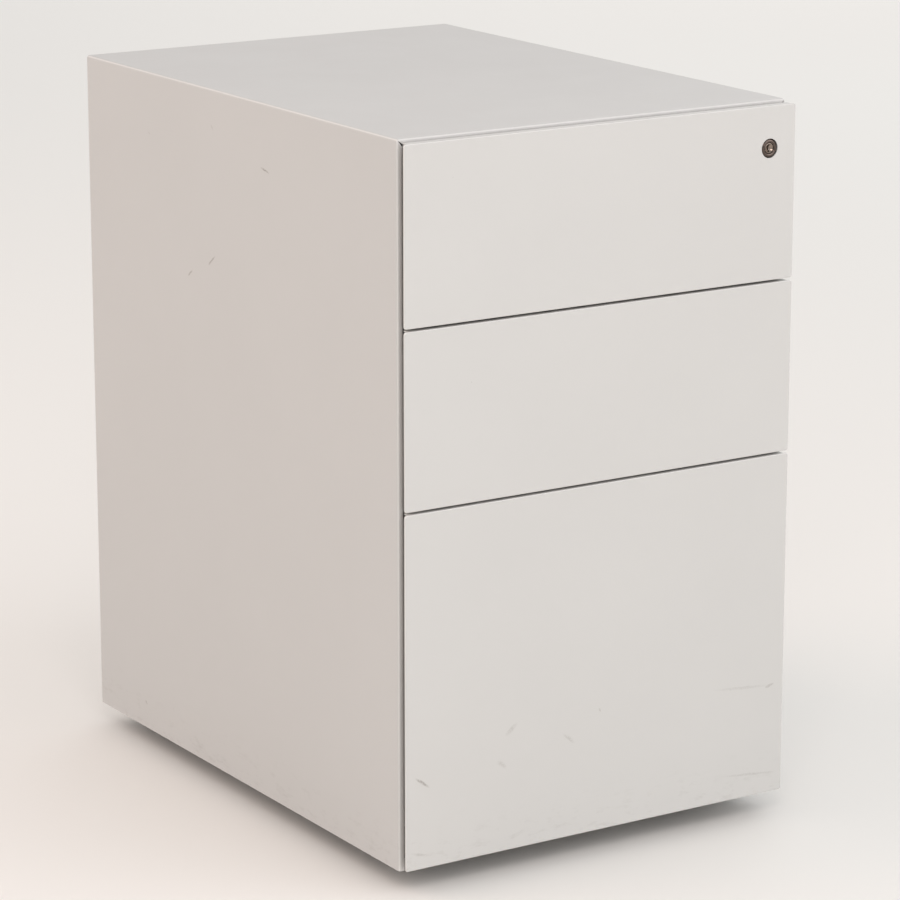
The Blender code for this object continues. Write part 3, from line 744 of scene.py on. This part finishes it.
def uprights():
    """Channels open towards the side panels, slotted for the slides' hooks."""
    for end in ("front", "rear"):
        for side, sign in SIDES.items():
            node = f"upright_{end}_{side}"
            low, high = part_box(node)
            outward = "+X" if sign > 0 else "-X"
            obj = folded(f"{node}_channel", low, high, (outward, "+Z", "-Z"))
            web = low.x if sign > 0 else high.x
            middle = (low.y + high.y) / 2
            slots = bmesh.new()
            for step in range(int((high.z - low.z) / SLOT_PITCH)):
                z = low.z + 0.012 + SLOT_PITCH * step
                slot_low = (web - 0.003, middle - 0.002, z)
                slot_high = (web + 0.003, middle + 0.002, z + SLOT_HEIGHT)
                box_mesh(slot_low, slot_high, slots)
            carve(obj, slots)
            refit(obj, node)


def channel_piece(node, open_side):
    """A slide member with a row of holes along its web, from its CAD node's box."""
    low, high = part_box(node)
    obj = folded(f"{node}_member", low, high, (open_side, "+Y", "-Y"), SLIDE_SHEET, SLIDE_BEND)
    middle_z = (low.z + high.z) / 2
    web = low.x if open_side == "+X" else high.x
    holes = bmesh.new()
    for step in range(WEB_HOLES):
        y = low.y + WEB_HOLE_INSET + (high.y - low.y - WEB_HOLE_INSET * 2) * step / (WEB_HOLES - 1)
        reach = (Vector((web - 0.003, y, middle_z)), Vector((web + 0.003, y, middle_z)))
        rod_mesh(*reach, NARROW_HOLE if step % 2 else WIDE_HOLE, 20, holes)
    carve(obj, holes)
    refit(obj, node)


def slide_members():
    for side, sign in SIDES.items():
        inward = "-X" if sign > 0 else "+X"
        outward = "+X" if sign > 0 else "-X"
        for drawer in DRAWERS:
            channel_piece(f"cabinet_slide_{drawer}_{side}", inward)
            channel_piece(f"{drawer}_drawer_slide_{side}", outward)
        channel_piece(f"file_runner_{side}", inward)


def ball_cages():
    """In each outer channel: two strips that hold the slide's balls, above and below."""
    short = [(drawer, side) for drawer in ("top", "middle") for side in SIDES]
    pairs = [(f"cabinet_slide_{d}_{s}", f"{d}_drawer_slide_{s}") for d, s in short]
    for side in SIDES:
        pairs.append((f"cabinet_slide_file_{side}", f"file_runner_{side}"))
        pairs.append((f"file_runner_{side}", f"file_drawer_slide_{side}"))
    for outer, inner in pairs:
        outer_low, outer_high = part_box(outer)
        inner_low, inner_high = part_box(inner)
        middle_z = (outer_low.z + outer_high.z) / 2
        far = outer_high.z - middle_z - SLIDE_SHEET
        near = inner_high.z - middle_z
        radius = (far - near) / 2 - 0.0001
        low_x = max(outer_low.x, inner_low.x)
        high_x = min(outer_high.x, inner_high.x)
        centre_x = (low_x + high_x) / 2
        front = outer_low.y + CAGE_INSET
        back = front + CAGE_LENGTH
        pitch = max(0.007, radius * 3.2)
        balls = bmesh.new()
        strips = bmesh.new()
        for turn in (-1, 1):
            z = middle_z + turn * (near + far) / 2
            thin = radius * 0.55
            half = min(0.0022, (high_x - low_x) / 2 - 0.0004)
            box_mesh((centre_x - half, front, z - thin), (centre_x + half, back, z + thin), strips)
            for step in range(int(CAGE_LENGTH / pitch)):
                place = Matrix.Translation((centre_x, front + pitch * (step + 0.5), z))
                bmesh.ops.create_icosphere(balls, subdivisions=3, radius=radius, matrix=place)
        body = body_of(outer)
        strip = new_object(f"{outer}_ball_cage", strips)
        add_bevel(strip, thin * 0.5, 2)
        settle(strip)
        piece(strip, body, "zinc_steel", material="brass_cage")
        piece(new_object(f"{outer}_balls", balls), body, "zinc_steel", material="polished_steel")


def slide_screws():
    """Screws through the slides' webs, into the uprights and into the drawer boxes."""
    fixed = []
    for drawer in ("top", "middle"):
        moving = []
        for side, sign in SIDES.items():
            low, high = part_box(f"cabinet_slide_{drawer}_{side}")
            web = sign * (max(abs(low.x), abs(high.x)) - SLIDE_SHEET)
            z = (low.z + high.z) / 2
            for end in ("front", "rear"):
                post_low, post_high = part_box(f"upright_{end}_{side}")
                y = (post_low.y + post_high.y) / 2
                fixed.append(((web, y, z + 0.009), (-sign, 0, 0), 0.8))
            low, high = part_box(f"{drawer}_drawer_slide_{side}")
            web = sign * (min(abs(low.x), abs(high.x)) + SLIDE_SHEET)
            for y in (low.y + 0.022, (low.y + high.y) / 2 + 0.02, high.y - 0.030):
                moving.append(((web, y, z + 0.006), (sign, 0, 0), 0.8))
        scatter(f"{drawer}_slide_screws", SCREW, moving, f"drawer_{drawer}", "zinc_steel")
    scatter("cabinet_slide_screws", SCREW, fixed, "carcass", "zinc_steel")


# ---------------------------------------------------------------- drawers


def lock_place():
    """The lock's axis, where it crosses the face of the top front."""
    low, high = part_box("lock_plug")
    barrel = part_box("lock_barrel")[0]
    return Vector(((low.x + high.x) / 2, barrel.y, (low.z + high.z) / 2))


def lock_hole(extra=0.0):
    x, y, z = lock_place()
    return rod_mesh((x, y - 0.003, z), (x, y + 0.016, z), LOCK_HOLE + extra, 64)


def front_skin(drawer):
    """The visible front: a flat hem at each side, and between the hems a return above and below."""
    node = f"{drawer}_front_skin"
    low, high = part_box(node)
    bm = box_mesh(low, high)
    depth = high.y - low.y
    corners = [e for e in bm.edges if abs(e.verts[0].co.y - e.verts[1].co.y) > depth / 2]
    bmesh.ops.bevel(bm, geom=corners, offset=FRONT_CORNER, segments=8, profile=0.5, affect="EDGES")
    face_rim = [e for e in bm.edges if all(v.co.y < low.y + 1e-6 for v in e.verts)]
    bmesh.ops.bevel(bm, geom=face_rim, offset=FRONT_EDGE, segments=5, profile=0.5, affect="EDGES")
    obj = new_object(f"{node}_sheet", bm)
    reach = high.y + 0.002
    inner = high.x - HEM_WIDTH
    carve(obj, box_mesh((-inner, low.y + SHEET, low.z + SHEET), (inner, reach, high.z - SHEET)))
    back = low.y + HEM_THICKNESS
    reliefs = bmesh.new()
    for sign in SIDES.values():
        ends = sorted((sign * (inner - 0.001), sign * (high.x + 0.002)))
        box_mesh((ends[0], back, low.z + SHEET), (ends[1], reach, high.z - SHEET), reliefs)
    carve(obj, reliefs)
    tips = bmesh.new()
    for sign in SIDES.values():
        ends = sorted((sign * (high.x - RETURN_END), sign * (high.x + 0.002)))
        box_mesh((ends[0], back, low.z - 0.001), (ends[1], reach, high.z + 0.001), tips)
    carve(obj, tips)
    if drawer == "top":
        carve(obj, lock_hole())
    refit(obj, node)


def front_liner(drawer):
    """The pan between the visible front and the drawer box."""
    node = f"{drawer}_front_liner"
    low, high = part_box(node)
    obj = folded(f"{node}_pan", low, high, ("-Y",))
    if drawer == "top":
        carve(obj, lock_hole(0.0005))
    refit(obj, node)


def stud_place(node):
    """Centre and radius of the lock stud on a drawer box, and how far out it reaches."""
    low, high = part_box(node)
    wall = -low.x
    tip = [v.co for v in frame["nodes"][node].data.vertices if v.co.x > wall + 0.003]
    ys, zs = [co.y for co in tip], [co.z for co in tip]
    middle = Vector((wall, (min(ys) + max(ys)) / 2, (min(zs) + max(zs)) / 2))
    return middle, (max(ys) - min(ys)) / 2, high.x


def drawer_box(drawer):
    """An open tray with hemmed walls; the file drawer's walls are plain, under its hanging rails."""
    node = f"{drawer}_drawer_box"
    low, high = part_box(node)
    high.x = -low.x
    bm = box_mesh(low, high)
    bmesh.ops.delete(bm, geom=[f for f in bm.faces if f.normal.z > 0.9], context="FACES")
    if drawer != "file":
        rim = [e for e in bm.edges if e.is_boundary]
        centre = (low + high) / 2

        def hem(point):
            return Vector([math.copysign(BOX_HEM, centre[i] - point[i]) for i in (0, 1)] + [0.0])

        edge = fold_edges(bm, rim, hem)
        fold_edges(bm, edge, lambda point: Vector((0.0, 0.0, -BOX_HEM)))
        bmesh.ops.recalc_face_normals(bm, faces=bm.faces)
    obj = new_object(f"{node}_tray", bm)
    add_bevel(obj, INNER_BEND, BEND_STEPS)
    add_solidify(obj, BOX_SHEET)
    add_bevel(obj, EDGE_SOFTNESS, 2, RIM_ANGLE)
    settle(obj)
    carve(obj, floor_weld_marks(low, high))
    refit(obj, node)

    place, radius, reach = stud_place(node)
    tall = reach - place.x
    profile = [(0.0, tall)] + arc((radius - 0.0006, tall - 0.0006), 0.0006, 90, 0, 3)
    profile += [(radius, 0.0010), (radius + 0.0015, 0.0008), (radius + 0.0016, 0.0), (0.0, 0.0)]
    stud = new_object(f"{drawer}_lock_stud", lathe_mesh(profile, place, (1, 0, 0), 32))
    piece(stud, f"drawer_{drawer}", "zinc_steel")

    wall_y = low.y + BOX_SHEET
    heights = [low.z + (high.z - low.z) * share for share in (0.3, 0.78)]
    across = (-0.135, -0.045, 0.045, 0.135)
    places = [((x, wall_y, z), (0, 1, 0), 1.0) for x in across for z in heights]
    if drawer == "file":
        places += [((x, wall_y, high.z - 0.015), (0, 1, 0), 1.0) for x in (-0.135, 0.135)]
    scatter(f"{drawer}_front_screws", SCREW, places, f"drawer_{drawer}", "zinc_steel")


def floor_weld_marks(low, high):
    """Shallow round dents in a tray's floor along its walls."""
    bm = bmesh.new()
    inset = 0.011
    floor = low.z + BOX_SHEET
    rows = 7
    for row in range(rows):
        y = low.y + 0.020 + (high.y - low.y - 0.040) * row / (rows - 1)
        for x in (low.x + inset, high.x - inset):
            dent = ((x, y, floor + DENT_DEPTH), (x, y, floor - DENT_DEPTH))
            rod_mesh(*dent, FLOOR_DENT[0], 20, bm, end_radius=FLOOR_DENT[1])
    return bm


def hanging_rails():
    for side in SIDES:
        node = f"hanging_rail_{side}"
        low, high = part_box(node)
        obj = folded(f"{node}_clip", low, high, ("-Z", "+Y", "-Y"), RAIL_SHEET, RAIL_BEND)
        refit(obj, node)


def drawers():
    for drawer in DRAWERS:
        front_skin(drawer)
        front_liner(drawer)
        drawer_box(drawer)
    hanging_rails()


# ---------------------------------------------------------------- lock


def lock_barrel():
    """The fixed cylinder: a ring rounded inside and out, a shoulder, and a thread for the nut."""
    place = lock_place()
    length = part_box("lock_barrel")[1].y - place.y
    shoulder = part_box("lock_bracket")[0].y - TOUCH_GAP - place.y
    rim = 0.0057
    rounding = (BARREL_RADIUS - rim, 0.0017)
    outside = arc((rim, 0.0017), rounding, 0, -90, 10)
    profile = [(x, -depth) for x, depth in reversed(outside)][:-1]
    collar = BARREL_RADIUS + SHOULDER_WIDTH
    profile += [(BARREL_RADIUS, -0.0018), (BARREL_RADIUS, SHOULDER_HEIGHT - shoulder)]
    profile += [(collar, SHOULDER_HEIGHT - shoulder), (collar, -shoulder)]
    root = BARREL_RADIUS - THREAD_DEPTH
    height = -shoulder
    while height > -length + THREAD_PITCH:
        profile += [(BARREL_RADIUS, height - 0.0001), (root, height - THREAD_PITCH / 2)]
        height -= THREAD_PITCH
    profile += [(root, -length), (BORE_RADIUS, -length), (BORE_RADIUS, -0.0011)]
    inside = arc((rim, 0.0011), (rim - BORE_RADIUS, 0.0010), 180, 270, 8)
    profile += [(x, -depth) for x, depth in inside[1:-1]]
    obj = new_object("lock_barrel_ring", lathe_mesh(profile, place, (0, -1, 0), 96))
    refit(obj, "lock_barrel")


def lock_plug():
    """The turning part: its face is dished towards the keyway."""
    place = lock_place()
    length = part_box("lock_plug")[1].y - place.y
    edge, deepest, shallowest = 0.0037, 0.0029, 0.0008
    steps = 10
    dish = []
    for step in range(steps + 1):
        radius = edge * step / steps
        dish.append((radius, -deepest + (deepest - shallowest) * (step / steps) ** 1.8))
    profile = [*dish, (PLUG_RADIUS, -shallowest - 0.0001), (PLUG_RADIUS, -length), (0.0, -length)]
    obj = new_object("lock_plug_face", lathe_mesh(profile, place, (0, -1, 0), 64))
    width, height, depth = KEYWAY
    low = place + Vector((-width / 2, -0.001, -height / 2))
    high = place + Vector((width / 2, depth, height / 2))
    carve(obj, box_mesh(low, high))
    piece(obj, body_of("lock_plug"), "lock_metal", ("lock_plug",), material="plug_metal")


# ---------------------------------------------------------------- castors


def castor_wheels(castor):
    """Each wheel: a soft tread with rounded shoulders and a groove, and a recessed hub."""
    for wheel, sign in SIDES.items():
        node = f"castor_wheel_{castor}_{wheel}"
        low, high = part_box(node)
        centre = (low + high) / 2
        outer_x = high.x if sign > 0 else low.x
        base = Vector((outer_x, centre.y, centre.z))
        radius = (high.z - low.z) / 2
        width = high.x - low.x
        inner = radius - TYRE_SHOULDER
        groove = radius - GROOVE_DEPTH
        tread = arc((inner, -TYRE_SHOULDER), TYRE_SHOULDER, 90, 0, 6)
        tread += [(radius, -width * 0.42), (groove, -width * 0.45)]
        tread += [(groove, -width * 0.55), (radius, -width * 0.58)]
        tread += arc((inner, -width + TYRE_SHOULDER), TYRE_SHOULDER, 0, -90, 6)
        tread += [(TYRE_BORE, -width), (TYRE_BORE, -0.0006), (0.0156, 0.0)]
        tyre = new_object(f"{node}_tread", lathe_mesh(tread, base, (sign, 0, 0), 64))
        body = body_of(node)
        piece(tyre, body, "wheel_tread", (node,))
        back = -width + 0.0004
        hub = [(0.0146, -0.0012), (0.0146, back), (AXLE_BORE, back), (AXLE_BORE, -0.0040)]
        hub += [(0.0066, -0.0040), (0.0070, -0.0028), (0.0120, -0.0028), (0.0128, -0.0012)]
        middle = new_object(f"{node}_hub", lathe_mesh(hub, base, (sign, 0, 0), 64))
        piece(middle, body, "castor_plastic")


def castor_bolts():
    """Four bolts under each castor's plate."""
    places = []
    inset = 0.0065
    for castor in CASTORS:
        low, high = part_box(f"castor_plate_{castor}")
        under = high.z - 0.0025
        for x in (low.x + inset, high.x - inset):
            for y in (low.y + inset, high.y - inset):
                places.append(((x, y, under), (0, 0, -1), 0.62))
    scatter("castor_bolts", BOLT, places, "carcass", "zinc_steel")


def castors():
    for castor in CASTORS:
        castor_wheels(castor)
    castor_bolts()


make_camera()
make_light()
make_floor()
dress_nodes()
SCREW = screw_template()
BOLT = bolt_template()
outer_shell()
back_panel()
base_pan()
uprights()
slide_members()
ball_cages()
slide_screws()
drawers()
lock_barrel()
lock_plug()
castors()
